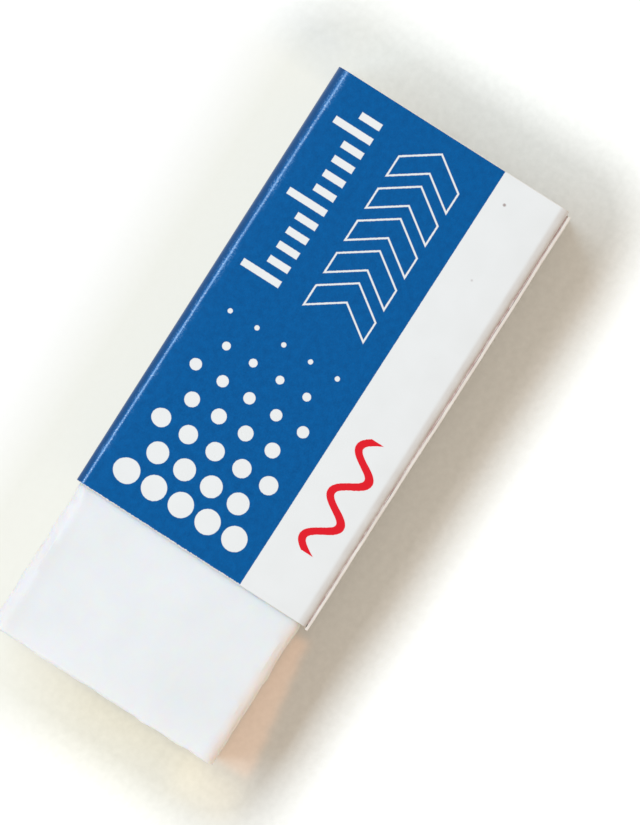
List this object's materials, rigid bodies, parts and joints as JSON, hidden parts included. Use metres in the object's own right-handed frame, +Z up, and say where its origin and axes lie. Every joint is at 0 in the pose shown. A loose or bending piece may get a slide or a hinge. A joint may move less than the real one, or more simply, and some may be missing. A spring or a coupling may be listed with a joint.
{
  "type": "block eraser",
  "caption": "White vinyl block eraser in a folded and printed card sleeve that is open at both ends and slides along it.",
  "frame": {"origin": "on the resting plane, the underside of the sleeve, below the middle of the rubber block", "axes": "+X along the block, from the bare rubber end to the sleeve's rear end; +Z up, out of the printed top face; the card's glued lap and the white stripe are at -Y"},
  "size_m": [0.0602, 0.0252, 0.0128],
  "materials": {
    "white_vinyl": "soft satin, slightly translucent",
    "coated_card": "glossy coated board, blue field and white stripe, bare cream board on its cut edges"
  },
  "bodies": {
    "sleeve": {"sleeve": "coated_card"},
    "block": {"eraser_block": "white_vinyl"}
  },
  "joints": [
    {"name": "block_slide", "type": "slide", "parent": "sleeve", "child": "block", "axis": [-1, 0, 0], "range_m": [-0.0154, 0.05]}
  ]
}
